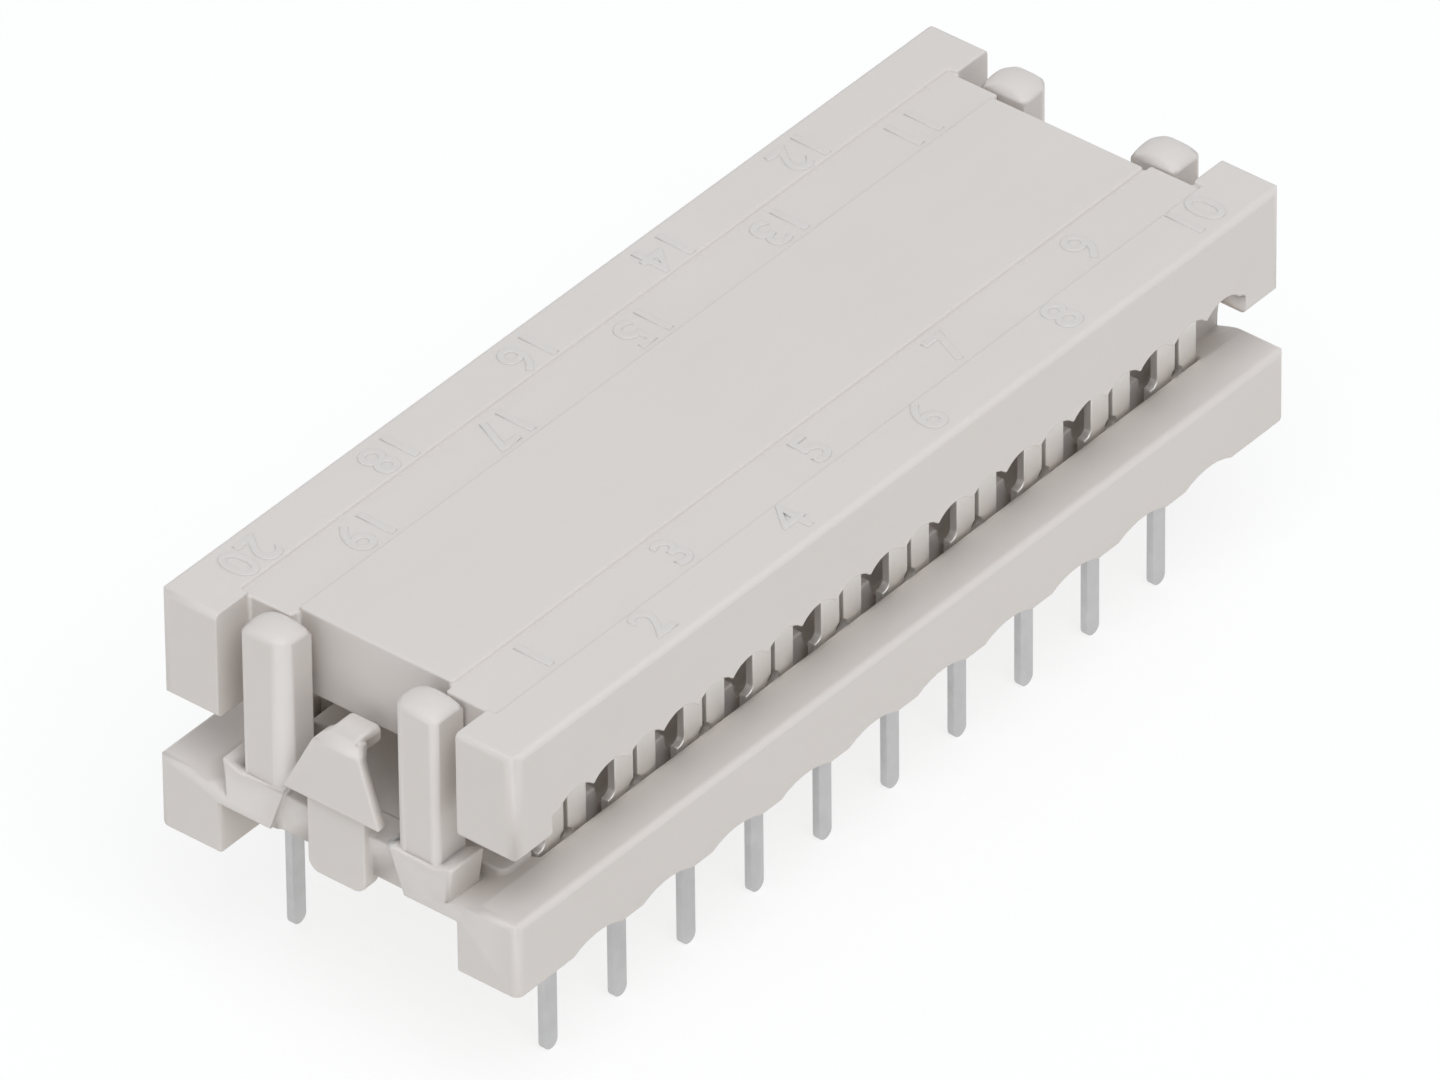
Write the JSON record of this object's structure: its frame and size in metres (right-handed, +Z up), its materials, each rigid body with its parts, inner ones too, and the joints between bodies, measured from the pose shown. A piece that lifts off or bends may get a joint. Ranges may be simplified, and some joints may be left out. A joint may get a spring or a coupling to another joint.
{
  "type": "insulation displacement ribbon cable connector",
  "caption": "Ribbon cable plug for a circuit board: a moulded base with rows of forked contacts on solder tails, and a grooved cover that slides down guide posts to press the cable home.",
  "frame": {"origin": "middle of the tail grid, in the plane of the board that the side bars stand on", "axes": "+X along the two rows of contacts, +Y across them, +Z up from the board towards the cover"},
  "size_m": [0.0292, 0.0108, 0.0109],
  "materials": {
    "moulding": "light warm grey moulded polyester, fine matt grain",
    "tinned_contact": "tin-plated copper alloy strip, satin"
  },
  "bodies": {
    "base": {"base": "moulding", "contact_01": "tinned_contact", "contact_02": "tinned_contact", "contact_03": "tinned_contact", "contact_04": "tinned_contact", "contact_05": "tinned_contact", "contact_06": "tinned_contact", "contact_07": "tinned_contact", "contact_08": "tinned_contact", "contact_09": "tinned_contact", "contact_10": "tinned_contact", "contact_11": "tinned_contact", "contact_12": "tinned_contact", "contact_13": "tinned_contact", "contact_14": "tinned_contact", "contact_15": "tinned_contact", "contact_16": "tinned_contact", "contact_17": "tinned_contact", "contact_18": "tinned_contact", "contact_19": "tinned_contact", "contact_20": "tinned_contact"},
    "cover": {"cover": "moulding"}
  },
  "joints": [
    {"name": "cover_slide", "type": "slide", "parent": "base", "child": "cover", "axis": [0, 0, -1], "range_m": [0, 0.00175]}
  ]
}
